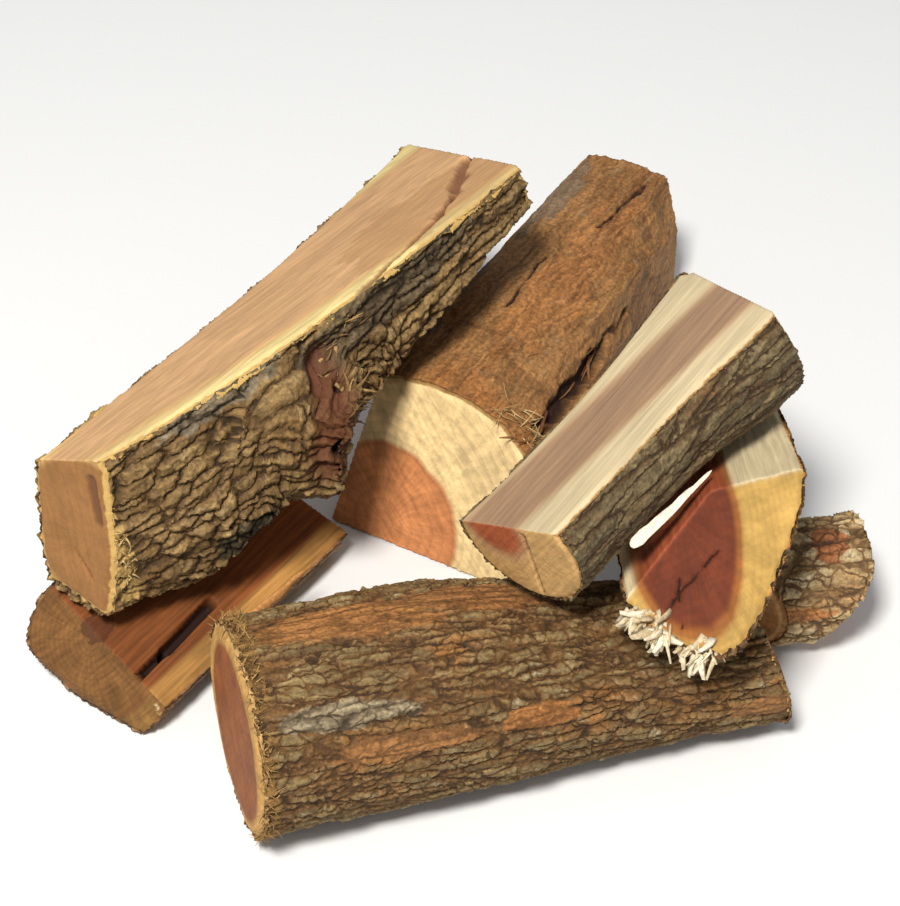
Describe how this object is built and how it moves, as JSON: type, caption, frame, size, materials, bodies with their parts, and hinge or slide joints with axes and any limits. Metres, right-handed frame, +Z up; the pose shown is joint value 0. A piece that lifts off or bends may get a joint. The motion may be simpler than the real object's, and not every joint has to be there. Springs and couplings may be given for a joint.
{
  "type": "firewood bundle",
  "caption": "Stack of split hardwood logs lying crossed on each other: rough bark, pale split and sawn faces, reddish heartwood.",
  "frame": {"origin": "on the ground, under the middle of the whole stack", "axes": "+Z up, +X to the right along the front log, +Y away from the front log"},
  "size_m": [0.5053, 0.5708, 0.2411],
  "materials": {
    "front_round": "rough grey-brown bark, red-brown sawn end with a cream rim",
    "back_round": "rough grey-brown bark",
    "base_half": "orange-brown split face with a pale edge",
    "knotted_split": "tan split face with a yellow edge, deeply furrowed bark",
    "bark_wedge": "smooth rust-brown bark, cream and red sawn end",
    "sawn_half": "pale sawn face with a pink middle, dark bark",
    "red_heart_half": "yellow cut end with dark red heartwood"
  },
  "bodies": {
    "root": {"front_round": "front_round", "back_round": "back_round", "base_half": "base_half", "knotted_split": "knotted_split", "bark_wedge": "bark_wedge", "sawn_half": "sawn_half", "red_heart_half": "red_heart_half"}
  },
  "joints": []
}
